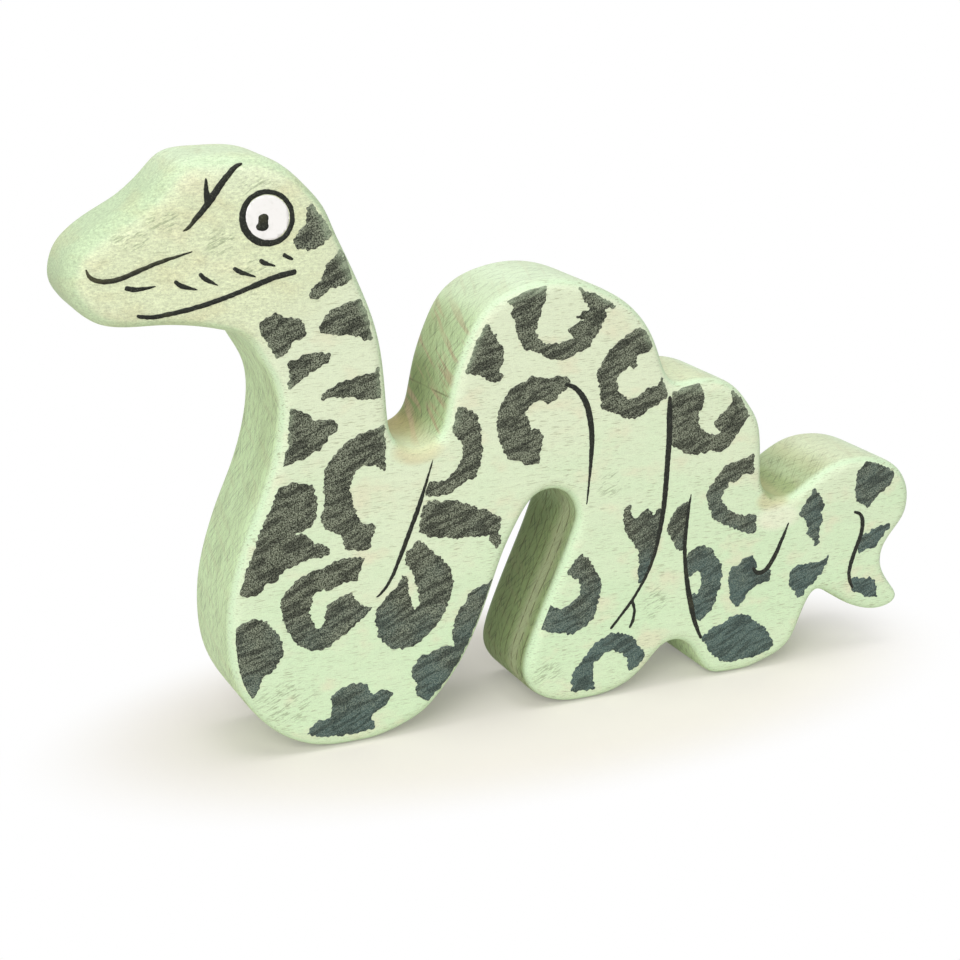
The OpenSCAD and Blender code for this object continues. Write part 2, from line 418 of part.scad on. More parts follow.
// Lines of the face, on the tapered head
BROW_LINES = [
    [[-44.2, 101.3, 0.2], [-45.6, 100.8, 0.6], [-47.4, 99.1, 0.9], [-49.1, 97, 1], [-50.3, 95.4, 0.9],
        [-52.3, 93.3, 0.7], [-53.6, 91.9, 0.4], [-54.5, 91.5, 0.15]],
    [[-50.3, 99.5, 0.25], [-50.4, 98.1, 0.6], [-50.3, 96.7, 0.9], [-50.2, 95.4, 0.9]]
];
MOUTH_LINES = [
    [[-69.7, 86.7, 0.3], [-69.4, 85.7, 0.5], [-68.4, 84.9, 0.7], [-66.5, 84.6, 0.7], [-64.5, 84.9, 0.7],
        [-62.4, 85.6, 0.7], [-59.9, 86.5, 0.6], [-57.5, 87.2, 0.5], [-55, 87.8, 0.3], [-53, 88.3, 0.15]],
    [[-62.4, 78.9, 0.5], [-61.2, 78.6, 0.6], [-59.5, 78.5, 0.7], [-56.2, 78.9, 0.7], [-52.8, 79.5, 0.7],
        [-49.5, 80.3, 0.7], [-46.1, 81.3, 0.7], [-42.8, 82.4, 0.8], [-39.5, 83.4, 0.8],
        [-36.5, 83.9, 0.8]]
];
CHEEK_TICKS = [
    [[-64, 83.4, 0.6], [-62.2, 83, 0.7], [-59, 83.3, 0.15]],
    [[-56.2, 83.9, 0.5], [-55.1, 83, 0.7], [-52.5, 82.2, 0.15]],
    [[-52.2, 84.8, 0.5], [-51.3, 83.8, 0.7], [-49.2, 82.6, 0.15]],
    [[-46.7, 85.3, 0.5], [-45.7, 84.5, 0.7], [-43, 83.5, 0.15]],
    [[-42.4, 86.2, 0.5], [-41.6, 85.6, 0.7], [-39.8, 85, 0.15]],
    [[-38.6, 86.8, 0.6], [-37.8, 86.3, 0.6], [-36.9, 85.9, 0.3]]
];

// The eye: its middle, and the pupil's outline from there
EYE = [-40.9, 92.7];
PUPIL = [
    [-1.4, 0.3], [-0.5, 0.8], [0.3, 0.5], [0.1, -0.8], [0.2, -1.6], [-0.5, -2.1], [-1.8, -1.8],
    [-1.9, -1.2], [-1.4, -0.8]
];
// Diameter of the eye that the pupil is drawn for
PUPIL_EYE_D = 7.2;

// The round eye keeps its share of the head's area where the head is made longer or lower
EYE_SHARE = sqrt(stretch(EYE[0], PATTERN_X, BOARD_X) * stretch(EYE[1], PATTERN_Z, BOARD_Z));
WHITE_D = eye_d * EYE_SHARE;
RING_W = eye_ring_w * EYE_SHARE;

STROKE_STEPS = 3;

// Points along a drawn line, with the width at each
function along(line) =
    let (last = len(line) - 1)
    concat(
        [for (i = [0 : last - 1], k = [0 : STROKE_STEPS - 1])
            curve(line[max(0, i - 1)], line[i], line[i + 1], line[min(last, i + 2)], k / STROKE_STEPS)],
        [line[last]]
    );

// Outline of a drawn line, with a margin on each side
function stroke(line, margin = 0) =
    let (
        points = along(line),
        path = [for (p = points) on_board(p)],
        last = len(path) - 1,
        aside = [for (i = [0 : last]) across(unit(path[min(last, i + 1)] - path[max(0, i - 1)]))],
        half = [for (p = points) p[2] * line_w / 2 + margin]
    )
    concat(
        [for (i = [0 : last]) path[i] + half[i] * aside[i]],
        [for (i = [last : -1 : 0]) path[i] - half[i] * aside[i]]
    );

module blotch(marks) {
    for (mark = marks)
        polygon([for (p = mark) on_board(p)]);
}

module strokes(lines, margin = 0) {
    for (line = lines)
        polygon(stroke(line, margin));
}

// Blotches that stop short of the lines drawn through them
module blotch_beside(marks, lines) {
    difference() {
        blotch(marks);
        strokes(lines, print_gap);
    }
}

// A film on the left face, or its mirror image on the right face
module on_face(side, lift = 0) {
    mirror([0, side == RIGHT ? 1 : 0, 0])
        translate([0, -board_t / 2 - lift, 0])
            rotate([90, 0, 0])
                linear_extrude(print_t)
                    children();
}

// The same on the head, turned about the crease onto the tapered flat
module on_head(side, lift = 0) {
    crease_at = [CREASE_THROAT[0], -board_t / 2, CREASE_THROAT[1]];
    mirror([0, side == RIGHT ? 1 : 0, 0])
        translate(crease_at)
            rotate(a = -atan(HEAD_SLOPE), v = [CREASE[0], 0, CREASE[1]])
                translate(-crease_at)
                    on_face(LEFT, lift)
                        children();
}

module wood_body() {
    left_flats = concat(filled_ring(BODY_FLAT), filled_ring(HEAD_FLAT));
    right_flats = [for (triangle = left_flats) other_side(triangle)];
    color([0.80, 0.84, 0.66])
        polyhedron(RINGS, concat(EDGE_FACES, left_flats, right_flats));
}

module neck_bands(side) {
    color([0.30, 0.31, 0.28]) {
        on_face(side) blotch(NECK_BANDS);
        on_head(side) blotch([HEAD_BAND]);
    }
}

module coil_blotches(side) {
    color([0.30, 0.32, 0.30])
        on_face(side) blotch_beside(COIL_BLOTCHES, [NECK_LINE]);
}

module hump_blotches(side) {
    color([0.30, 0.31, 0.28])
        on_face(side) blotch_beside(HUMP_BLOTCHES, [NECK_LINE, HUMP_LINE, CLEFT_LINE]);
}

module middle_blotches(side) {
    color([0.26, 0.30, 0.31])
        on_face(side) blotch_beside(MIDDLE_BLOTCHES, [CLEFT_LINE, CLEFT_BRANCH]);
}

module rear_blotches(side) {
    color([0.28, 0.31, 0.31])
        on_face(side) blotch_beside(REAR_BLOTCHES, [CLEFT_LINE, REAR_LINE, TAIL_HOOK]);
}

module tail_blotches(side) {
    color([0.28, 0.31, 0.31])
        on_face(side) blotch_beside(TAIL_BLOTCHES, [TAIL_LINE]);
}

module coil_lines(side) {
    color([0.12, 0.13, 0.11])
        on_face(side) strokes(COIL_LINES);
}

module mouth_lines(side) {
    color([0.22, 0.22, 0.14])
        on_head(side) strokes(MOUTH_LINES);
}

module brow_line(side) {
    color([0.15, 0.15, 0.12])
        on_head(side) strokes(BROW_LINES);
}

module cheek_ticks(side) {
    color([0.22, 0.22, 0.16])
        on_head(side) strokes(CHEEK_TICKS);
}

module eye_white(side) {
    color([0.98, 0.97, 0.97])
        on_head(side) translate(on_board(EYE)) circle(d = WHITE_D);
}

module eye_ring(side) {
    inner_d = WHITE_D + 2 * print_gap;
    color([0.12, 0.13, 0.11])
        on_head(side)
            translate(on_board(EYE))
                difference() {
                    circle(d = inner_d + 2 * RING_W);
                    circle(d = inner_d);
                }
}

// The pupil lies on the white
module pupil(side) {
    color([0.10, 0.11, 0.10])
        on_head(side, print_t)
            translate(on_board(EYE))
                polygon(PUPIL * WHITE_D / PUPIL_EYE_D);
}

wood_body();
neck_bands(LEFT);  // left_neck_bands
coil_blotches(LEFT);  // left_coil_blotches
hump_blotches(LEFT);  // left_hump_blotches
middle_blotches(LEFT);  // left_middle_blotches
rear_blotches(LEFT);  // left_rear_blotches
tail_blotches(LEFT);  // left_tail_blotches
coil_lines(LEFT);  // left_coil_lines
mouth_lines(LEFT);  // left_mouth_lines
brow_line(LEFT);  // left_brow_line
cheek_ticks(LEFT);  // left_cheek_ticks
eye_white(LEFT);  // left_eye_white
eye_ring(LEFT);  // left_eye_ring
pupil(LEFT);  // left_pupil
neck_bands(RIGHT);  // right_neck_bands
coil_blotches(RIGHT);  // right_coil_blotches
hump_blotches(RIGHT);  // right_hump_blotches
middle_blotches(RIGHT);  // right_middle_blotches
rear_blotches(RIGHT);  // right_rear_blotches
tail_blotches(RIGHT);  // right_tail_blotches
coil_lines(RIGHT);  // right_coil_lines
mouth_lines(RIGHT);  // right_mouth_lines
brow_line(RIGHT);  // right_brow_line
cheek_ticks(RIGHT);  // right_cheek_ticks
eye_white(RIGHT);  // right_eye_white
eye_ring(RIGHT);  // right_eye_ring
pupil(RIGHT);  // right_pupil
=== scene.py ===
import math

import bmesh
import bpy
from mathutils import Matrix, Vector, kdtree, noise
from mathutils.bvhtree import BVHTree


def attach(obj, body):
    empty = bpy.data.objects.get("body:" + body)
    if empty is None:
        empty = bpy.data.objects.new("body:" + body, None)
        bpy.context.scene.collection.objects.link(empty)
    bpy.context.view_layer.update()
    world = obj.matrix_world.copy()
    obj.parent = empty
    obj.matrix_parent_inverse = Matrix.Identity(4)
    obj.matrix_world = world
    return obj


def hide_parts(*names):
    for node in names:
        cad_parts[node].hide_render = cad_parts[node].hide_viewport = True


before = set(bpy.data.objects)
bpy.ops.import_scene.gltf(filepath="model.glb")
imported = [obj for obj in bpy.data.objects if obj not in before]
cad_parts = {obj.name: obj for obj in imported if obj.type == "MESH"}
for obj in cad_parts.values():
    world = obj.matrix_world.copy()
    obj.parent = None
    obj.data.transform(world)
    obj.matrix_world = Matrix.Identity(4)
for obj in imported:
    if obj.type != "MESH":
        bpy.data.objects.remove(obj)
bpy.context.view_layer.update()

# The board: one piece of beech, sawn to the snake's outline with its head thinned towards the snout.
# Its edges are rounded over and sanded, and it is dipped in a thin green stain that lets the grain show.

MM = 0.001
MERGE_WITHIN = 0.002 * MM
FACE_IS_FLAT = 0.9999
HEAD_IS_FLAT = 0.98
SAME_PLANE = math.radians(0.5)
JOINED_BELOW = math.radians(60)
ANY_SHAPE = math.radians(180)
FLAT_MARGIN = 0.5 * MM
LONGEST_EDGE_BAND = 4 * MM
WALL_CUTS = 5
OUTLINE_STEPS = 8
SANDED_LEVELS = 2
SIDES = {"left": -1, "right": 1}


def merged_copy(node_name):
    """A node's loose triangles as one closed mesh."""
    shape = bmesh.new()
    shape.from_mesh(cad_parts[node_name].data)
    bmesh.ops.remove_doubles(shape, verts=shape.verts, dist=MERGE_WITHIN)
    return shape


def finished_piece(name, shape, material):
    """An object at the origin from a mesh that is done, with smooth faces."""
    mesh = bpy.data.meshes.new(name)
    shape.to_mesh(mesh)
    shape.free()
    mesh.shade_smooth()
    mesh.materials.append(material)
    piece = bpy.data.objects.new(name, mesh)
    bpy.context.scene.collection.objects.link(piece)
    return piece


def paint(red, green, blue):
    """A colour given as 0 to 255 on screen, as the numbers that a shader takes."""
    shares = [value / 255 for value in (red, green, blue)]
    return (*[s / 12.92 if s <= 0.04045 else ((s + 0.055) / 1.055) ** 2.4 for s in shares], 1)


class Wire:
    """One output of a material's nodes. Sums and products of wires add Math nodes."""

    def __init__(self, tree, socket=None):
        self.tree = tree
        self.socket = socket

    def node(self, kind, settings=None, sockets=None, out=0):
        """A node of that kind: its settings first, then its sockets' values or links."""
        made = self.tree.nodes.new(kind)
        for name, value in (settings or {}).items():
            setattr(made, name, value)
        for key, value in (sockets or {}).items():
            if isinstance(value, Wire):
                self.tree.links.new(value.socket, made.inputs[key])
            else:
                made.inputs[key].default_value = value
        return Wire(self.tree, made.outputs[out])

    def math_node(self, operation, *values):
        """The result of one Math node on these values."""
        return self.node("ShaderNodeMath", {"operation": operation}, dict(enumerate(values)))

    def __add__(self, other):
        return self.math_node("ADD", self, other)

    def __radd__(self, other):
        return self.math_node("ADD", other, self)

    def __sub__(self, other):
        return self.math_node("SUBTRACT", self, other)

    def __rsub__(self, other):
        return self.math_node("SUBTRACT", other, self)

    def __mul__(self, other):
        return self.math_node("MULTIPLY", self, other)

    def __rmul__(self, other):
        return self.math_node("MULTIPLY", other, self)

    def __abs__(self):
        return self.math_node("ABSOLUTE", self)

    def rises(self, low, high):
        """0 up to low and 1 from high on, with a soft step between them."""
        sockets = {0: self, 1: low, 2: high}
        return self.node("ShaderNodeMapRange", {"interpolation_type": "SMOOTHSTEP"}, sockets)

    def mixed(self, first, second):
        """The first colour where this is 0 and the second where it is 1."""
        return self.node("ShaderNodeMix", {"data_type": "RGBA"}, {0: self, 6: first, 7: second}, 2)

    def shaded(self, colour):
        """A colour made darker or lighter by this."""
        grey = self.node("ShaderNodeCombineColor", {}, {0: self, 1: self, 2: self})
        settings = {"data_type": "RGBA", "blend_type": "MULTIPLY"}
        return self.node("ShaderNodeMix", settings, {0: 1.0, 6: colour, 7: grey}, 2)

    def grains(self, across, depth, up, detail=2.0, rough=0.5):
        """Cloudy noise whose grains are one unit long in each of the three numbers."""
        place = self.node("ShaderNodeCombineXYZ", {}, {0: across, 1: depth, 2: up})
        sockets = {"Vector": place, "Scale": 1.0, "Detail": detail, "Roughness": rough}
        return self.node("ShaderNodeTexNoise", {}, sockets)


def new_material(name):
    """A material with an empty node tree, and a wire to start its nodes from."""
    material = bpy.data.materials.new(name)
    material.use_nodes = True
    material.node_tree.nodes.clear()
    return material, Wire(material.node_tree)


def joined_to_output(shader, output_kind):
    """Ends a material's or the world's nodes with this shader."""
    output = shader.tree.nodes.new(output_kind)
    shader.tree.links.new(shader.socket, output.inputs["Surface"])


def surface(start, colour, roughness, height, depth, specular):
    """The shader of a matt surface, with its relief, joined to the material's output."""
    bump = start.node("ShaderNodeBump", {}, {"Strength": 1.0, "Distance": depth, "Height": height})
    sockets = {"Base Color": colour, "Roughness": roughness, "Normal": bump}
    sockets["Specular IOR Level"] = specular
    shader = start.node("ShaderNodeBsdfPrincipled", {}, sockets)
    joined_to_output(shader, "ShaderNodeOutputMaterial")


def in_millimetres(start):
    """Across, depth and height on the toy, in millimetres."""
    place = start.node("ShaderNodeTexCoord", out="Object")
    split = start.node("ShaderNodeSeparateXYZ", {}, {0: place}).socket.node
    return [Wire(start.tree, output) * (1 / MM) for output in split.outputs]


# The flat faces become a few large ones, and the triangles of the walls and rims become four-sided
board = merged_copy("wood_body")
flats = []
for side in SIDES.values():
    body_flat = [f for f in board.faces if f.normal.y * side > FACE_IS_FLAT]
    tilted = [f for f in board.faces if HEAD_IS_FLAT < f.normal.y * side <= FACE_IS_FLAT]
    head_normal = max(tilted, key=lambda f: f.calc_area()).normal.copy()
    head_flat = [f for f in tilted if f.normal.angle(head_normal) < SAME_PLANE]
    for flat in (body_flat, head_flat):
        flats += bmesh.ops.dissolve_faces(board, faces=flat)["region"]
bmesh.ops.join_triangles(
    board,
    faces=[f for f in board.faces if len(f.verts) == 3],
    angle_face_threshold=JOINED_BELOW,
    angle_shape_threshold=ANY_SHAPE,
)
bmesh.ops.inset_region(board, faces=flats, thickness=FLAT_MARGIN, use_even_offset=True)
bmesh.ops.triangulate(board, faces=flats)
wall_edges = [
    e for e in board.edges
    if abs((e.verts[1].co - e.verts[0].co).normalized().y) > FACE_IS_FLAT
    and e.calc_length() > LONGEST_EDGE_BAND
]
left_edge = {min(e.verts, key=lambda v: v.co.y) for e in wall_edges}

# The sawn outline in order, from under the front coil, with the way along it at each point
outline = [min(left_edge, key=lambda v: (round(v.co.z, 6), v.co.x))]
while True:
    ahead = [e.other_vert(outline[-1]) for e in outline[-1].link_edges]
    ahead = [v for v in ahead if v in left_edge and v not in outline]
    if not ahead:
        break
    outline.append(min(ahead, key=lambda v: v.co.x) if len(outline) == 1 else ahead[0])
outline_points = [v.co.copy() for v in outline]
way_along = [0.0]
for here, there in zip(outline_points, outline_points[1:]):
    way_along.append(way_along[-1] + (there - here).length)
bmesh.ops.subdivide_edges(board, edges=wall_edges, cuts=WALL_CUTS, use_grid_fill=True)

outline_tree = kdtree.KDTree(OUTLINE_STEPS * len(outline_points))
outline_ways = []
outline_inward = []
for i, here in enumerate(outline_points):
    there = outline_points[(i + 1) % len(outline_points)]
    for step in range(OUTLINE_STEPS):
        point = here.lerp(there, step / OUTLINE_STEPS)
        outline_tree.insert((point.x, 0, point.z), len(outline_ways))
        outline_ways.append(way_along[i] + (there - here).length * step / OUTLINE_STEPS)
        outline_inward.append(Vector((there.z - here.z, 0, here.x - there.x)).normalized())
outline_tree.balance()

# Each point of the board carries how far along the outline it lies, which the grain of the walls follows
way_layer = board.verts.layers.float.new("along")
for vert in board.verts:
    nearest = outline_tree.find((vert.co.x, 0, vert.co.z))
    vert[way_layer] = outline_ways[nearest[1]] / MM

STAIN_CREAM = paint(226, 237, 207)
STAIN_MINT = paint(213, 237, 199)
STAIN_BEIGE = paint(229, 227, 197)
STAIN_HEAD = paint(212, 219, 175)
STAIN_SNOUT = paint(191, 211, 172)
STAIN_RIM = paint(206, 231, 194)
PAINTED_TOP_LIGHT = paint(222, 237, 208)
STAIN_WALL = paint(214, 239, 190)
STAIN_OLIVE = paint(164, 180, 130)
PAINTED_SHADE_DARK = paint(132, 150, 96)
STAIN_PINK = paint(186, 166, 136)
PAINTED_LIGHT_PALE = paint(244, 246, 222)
VALLEY_SHADE_BROWN = paint(158, 147, 98)
VALLEY_TAN = paint(206, 194, 146)
YEAR_LINE = paint(92, 86, 54)
YEAR_LINE_DEPTHS = (-8.2, -6.4, -4.3, -1.6, 0.5, 2.8, 5.4)
YEAR_LINE_HALF = 0.25
PALE_STRIP_DEPTH = -5.0
PALE_STRIP_HALF = 3.4
CRACK_UP = 59.4
CRACK_HALF = 0.24
GRAIN_FLECK = paint(146, 148, 112)
PENCIL_GREY = paint(142, 157, 120)
PENCIL_SLOPE = 0.45
HATCHED_PLACES = [
    (-69, 90.5, 4, 2.2), (-63.5, 93, 4, 2), (-55, 89.5, 3.5, 2.5), (-48.5, 97.5, 4, 2), (-50, 85.5, 3, 2),
    (-47, 10, 7, 5), (14.3, 41, 3, 3), (24, 17, 3, 4), (2, 7, 4, 3),
]
STAIN_ROUGHNESS = 0.62
STAIN_GLOSS = 0.35
GRAIN_DEPTH = 0.03 * MM

stain, start = new_material("green_stained_beech")
x, y, z = in_millimetres(start)
turned = start.node("ShaderNodeTexCoord", out="Normal")
facing = abs(start.node("ShaderNodeSeparateXYZ", {}, {0: turned}, 1))
upward = start.node("ShaderNodeSeparateXYZ", {}, {0: turned}, 2).rises(0.3, 0.9)
along = start.node("ShaderNodeAttribute", {"attribute_name": "along"}, {}, "Fac")
rim = (1 - facing).rises(0.01, 0.3)
wall = (1 - facing).rises(0.3, 1.0)
backwards = y.rises(-8, 6)


def spot(across, up, half_wide, half_high):
    """1 at a place on the board, falling softly to 0 at the edge of an ellipse round it."""
    sideways = (x - across) * (1 / half_wide)
    upwards = (z - up) * (1 / half_high)
    return (1 - sideways * sideways - upwards * upwards).rises(0.0, 0.8)


# Places on the board, in millimetres: where the stain lies thicker or has another tone, and where shade or
# light is painted into it
on_head = spot(-60, 91, 34, 24)
crown = spot(-48, 103, 22, 8.5)
clean_side = spot(-55.5, 32, 6, 14)
in_arch = spot(3, 20, 15, 26)
hump_side = spot(-15, 60, 9, 18)
hump_shoulder = spot(-10, 74, 9, 7)
hump_crack = spot(-17, 59, 7, 4)
rear_hump_top = spot(30, 59, 7, 5)
tail_top = spot(63, 40, 11, 5)
tail_side = spot(50.5, 36, 14, 10) * 0.75 + spot(49.5, 35, 7, 6) * 0.35
# Painted shade in the corner of the valley by the tail.
tail_corner_shade = spot(47.2, 36, 4, 4) + spot(50.5, 34.3, 4, 1.8) * 0.6
# Painted shade in the two valleys.
valley_painted_shade = spot(-22.4, 53, 6, 5) + spot(49.8, 34, 4, 3)
# Painted shade in tan on the face and rim beside the valleys.
beside_valley_shade = spot(-22.4, 51.7, 5.5, 3) * 0.55 + spot(48.6, 33.4, 4.5, 2.6) * 0.6
# A painted highlight on the face below the valley by the tail.
lit_under_valley = spot(49.5, 29.8, 6, 3)
# Painted shade: low on the hump's front wall, in the neck's shadow, and on the wall by the tail's valley.
deepest_painted_shade = spot(-18, 57, 8, 10) * backwards * 0.9 + spot(50.5, 34.5, 5, 4) * 0.35
hatched = sum(spot(*place) for place in HATCHED_PLACES)

# The two faces: mint near the floor and cream higher up, with beige patches and a yellower head
clouds = start.grains(x * 0.06, y * 0.06, z * 0.09, 3.0)
upper = (z.rises(5, 80) * 0.6 + clouds * 0.8 - 0.15).rises(0.1, 0.85)
face_colour = upper.mixed(STAIN_MINT, STAIN_CREAM)
patches = start.grains(x * 0.11 + 40, y * 0.1, z * 0.17, 3.0).rises(0.5, 0.72)
face_colour = (patches * 0.7).mixed(face_colour, STAIN_BEIGE)
face_colour = (on_head * (0.5 - crown * 0.25)).mixed(face_colour, STAIN_HEAD)
streaks = start.grains(x * 0.05, y * 0.4, z * 1.5, 3.0, 0.6)
face_colour = (streaks * 0.12 + 0.94).shaded(face_colour)

# The walls: cloudy green, with a painted highlight on top, painted shade in the arch and the valleys, and
# olive on the hump's front with painted shade towards its back
wall_clouds = start.grains(along * 0.05, y * 0.12, 7.0).rises(0.45, 0.7) * (0.42 - clean_side * 0.25)
wall_colour = wall_clouds.mixed(STAIN_WALL, STAIN_OLIVE)
# A painted highlight: the parts of the walls that face upwards are made paler.
wall_colour = (upward * 0.8).mixed(wall_colour, PAINTED_TOP_LIGHT)
# Painted shade inside the arch, where the front coil keeps the light off.
wall_colour = (in_arch * 0.9).mixed(wall_colour, PAINTED_SHADE_DARK)
wall_colour = (hump_shoulder * 0.22).mixed(wall_colour, STAIN_OLIVE)
# Olive stain on the hump's front wall and the tail's side; the share that grows towards the back of the
# hump's wall is painted shade from the neck.
wall_colour = (hump_side * (backwards * 0.4 + 0.35) + tail_side).mixed(wall_colour, STAIN_OLIVE)
# Painted shade low on the hump's front wall and by the tail's valley.
wall_colour = deepest_painted_shade.mixed(wall_colour, PAINTED_SHADE_DARK)
wall_colour = (rear_hump_top * 0.3 + tail_top * 0.25).mixed(wall_colour, VALLEY_TAN)
# Painted shade in brown in the valleys, stronger towards the back.
wall_colour = (valley_painted_shade * (backwards * 0.75 + 0.15)).mixed(wall_colour, VALLEY_SHADE_BROWN)

# Torn fibres, crossed sanding scratches and fine grain on the walls
torn = start.grains((along - y * 0.35) * 0.45, y * 0.05, 15.0, 2.0, 0.6).rises(0.5, 0.64)
wall_colour = (torn * (hump_side * 0.65 + 0.12)).mixed(wall_colour, STAIN_PINK)
one_way = start.grains((along * 0.75 + y) * 3.0, (along - y * 0.75) * 0.17, 3.0)
other_way = start.grains((along * 0.75 - y) * 3.0, (along + y * 0.75) * 0.17, 9.0)
scratches = one_way.rises(0.55, 0.63) + other_way.rises(0.56, 0.64)
scratches = scratches * (hump_side * 0.1 + tail_side * 0.2 + in_arch * 0.12 + 0.24 - upward * 0.12)
wall_colour = (1 - scratches).shaded(wall_colour)
wall_grain = start.grains(along * 0.1, y * 2.4, 31.0, 3.0, 0.6).rises(0.48, 0.66)
wall_colour = (1 - wall_grain * 0.12 * (1 - upward)).shaded(wall_colour)

# Year lines that sway along the walls, a pale strip in the arch, and a crack across the hump's front
sway = start.grains(along * 0.05, y * 0.02, 21.0, 3.0) * 3.0 - 1.5
pale_strip = (1 - abs(y + sway - PALE_STRIP_DEPTH) * (1 / PALE_STRIP_HALF)).rises(0.0, 0.9)
wall_colour = (pale_strip * in_arch * 0.3).mixed(wall_colour, STAIN_BEIGE)
year_lines = sum(
    (1 - abs(y + sway - depth) * (1 / YEAR_LINE_HALF)).rises(0.0, 0.7) for depth in YEAR_LINE_DEPTHS
)
broken = start.grains(along * 0.5, y * 0.2, 2.0, 3.0).rises(0.36, 0.56)
wall_colour = (year_lines * broken * (in_arch * 0.6 + 0.18)).mixed(wall_colour, YEAR_LINE)
crack = (1 - abs(z - CRACK_UP + y * 0.03 + sway * 0.5) * (1 / CRACK_HALF)).rises(0.0, 0.8)
wall_colour = (crack * hump_crack * (broken * 0.4 + 0.2)).mixed(wall_colour, YEAR_LINE)

# Faces and walls meet at the rounded rim, which is mint, and the stain is rubbed tan in places on the head;
# beside the valleys shade is painted in tan and olive, and below the tail's valley a highlight is painted
colour = (rim * 0.75).mixed(face_colour, STAIN_RIM)
colour = wall.mixed(colour, wall_colour)
colour = (on_head * rim * (0.95 - crown * 0.6)).mixed(colour, STAIN_SNOUT)
# Painted shade in tan beside the valleys.
colour = (beside_valley_shade * (1 - wall * 0.6)).mixed(colour, VALLEY_TAN)
# Painted shade, olive, on the rim in the corner of the valley by the tail.
colour = (tail_corner_shade * rim * 0.6).mixed(colour, STAIN_OLIVE)
# A painted highlight below the valley by the tail.
colour = (lit_under_valley * 0.6).mixed(colour, PAINTED_LIGHT_PALE)
rubbed = start.grains(x * 0.15 + 90, y * 0.1, z * 0.25, 3.0).rises(0.46, 0.7)
colour = (rubbed * on_head * 0.22).mixed(colour, VALLEY_TAN)

# Short flecks of the grain, patches of pencil hatching, and dust all over
fleck_spread = start.grains(x * 0.08, y * 0.2 + 11, z * 0.1).rises(0.3, 0.62) * 0.6 + 0.4
fleck_spread = fleck_spread * (1 - on_head * 0.75)
flecks = start.grains(x * 0.42, y * 2.5, z * 5.6, 1.5).rises(0.6, 0.68)
fine_flecks = start.grains(x * 0.8 + 60, y * 3.0, z * 8.0, 1.5).rises(0.58, 0.68)
grain = (flecks * 0.55 + fine_flecks * 0.3) * fleck_spread * (1 - wall * 0.6)
colour = grain.mixed(colour, GRAIN_FLECK)
with_pencil = x + z * PENCIL_SLOPE
over_pencil = z - x * PENCIL_SLOPE
pencil = start.grains(with_pencil * 0.5, y * 0.05, over_pencil * 3.2, 2.0, 0.6).rises(0.52, 0.64)
colour = (pencil * hatched * facing * 0.6).mixed(colour, PENCIL_GREY)
dust = start.grains(x * 4.6, y * 4.6, z * 4.6, 2.0, 0.8)
coarse_dust = start.grains(x * 1.4 + 30, y * 2.3, z * 3.0, 2.0, 0.7)
speckle = (dust - 0.5) * (on_head * 0.2 + 0.42) + (coarse_dust - 0.5) * (on_head * 0.75 + 0.15)
colour = (speckle + 1).shaded(colour)
relief = streaks * 0.5 - flecks * 0.6 - scratches * wall + dust * 0.15
surface(start, colour, STAIN_ROUGHNESS + flecks * 0.1, relief, GRAIN_DEPTH, STAIN_GLOSS)

board_piece = finished_piece("stained_board", board, stain)
rounding = board_piece.modifiers.new("sanded", "SUBSURF")
rounding.levels = SANDED_LEVELS
rounding.render_levels = SANDED_LEVELS
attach(board_piece, "root")
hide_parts("wood_body")

# The blotches: dark ink brushed on both faces through a mask, one film for each part of the body.
# The brush leaves streaks in the ink and a fringe of small teeth along its edges, and the ink is rubbed
# thin where it runs onto the rounded rim of the upper body.

FILM_TOP = 0.04 * MM
FILM_T = 0.09 * MM
FILM_LIFTS = {"line": 1.5, "ring": 1.5, "pupil": 2}
LOOKS_OUT = 0.9
GRID = 0.55 * MM
EDGE_STEP = 0.22 * MM
MOST_EDGE_CUTS = 60
ROUNDING_STEPS = 3
FAR_OUT = 60 * MM
MASKED_TO = 0.8 * MM
LEFT_MASK = 1.1 * MM
RIGHT_MASK = 0.45 * MM
UNDER_LINE = 0.9 * MM
TUCKED = 0.35 * MM
RING_PRESSED = 0.35 * MM
RING_INNER = 1.1
PRESSED_ACROSS = -0.8
PRESSED_UP = -0.6
BRUSH_SLOPE = math.radians(22)
BLOTCH_TEETH = 0.4 * MM
LINE_TEETH = 0.08 * MM
SMALL_TEETH_PER_MM = (1.2, 2.6)
LARGE_TEETH_PER_MM = (0.5, 0.7)
LARGE_TEETH_SHARE = 0.6
LARGE_TEETH_SEED = 50
SEED_STEP = 7.3

bpy.context.view_layer.update()
board_surface = BVHTree.FromObject(board_piece, bpy.context.evaluated_depsgraph_get())
line_points = [v.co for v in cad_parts["left_coil_lines"].data.vertices]
line_tree = kdtree.KDTree(len(line_points))
for i, point in enumerate(line_points):
    line_tree.insert((point.x, 0, point.z), i)
line_tree.balance()


def onto_board(point, side, lift):
    """The place on the board's face that a point lies over, lifted off the wood."""
    ahead = Vector((0, -side, 0))
    hit, normal, _, _ = board_surface.ray_cast(Vector((point.x, side * FAR_OUT, point.z)), ahead)
    if hit is None:
        hit, normal, _, _ = board_surface.find_nearest(point)
    return hit + normal * lift


def masked_in(point):
    """The nearest place that the board's rounded edge leaves for a film, and how free of it that is."""
    flat_point = Vector((point.x, 0, point.z))
    edge, nearest, _ = outline_tree.find(flat_point)
    inward = outline_inward[nearest]
    gap = (flat_point - edge).dot(inward)
    mask = LEFT_MASK + (RIGHT_MASK - LEFT_MASK) * min(1, max(0, 0.5 - inward.x))
    free = min(1, max(0, (gap - mask) / MASKED_TO))
    return point + inward * max(0, mask - gap), free


def by_brush(across, up):
    """How far a place lies along the strokes of the brush, and how far over them."""
    with_brush = across * math.cos(BRUSH_SLOPE) + up * math.sin(BRUSH_SLOPE)
    over_brush = up * math.cos(BRUSH_SLOPE) - across * math.sin(BRUSH_SLOPE)
    return with_brush, over_brush


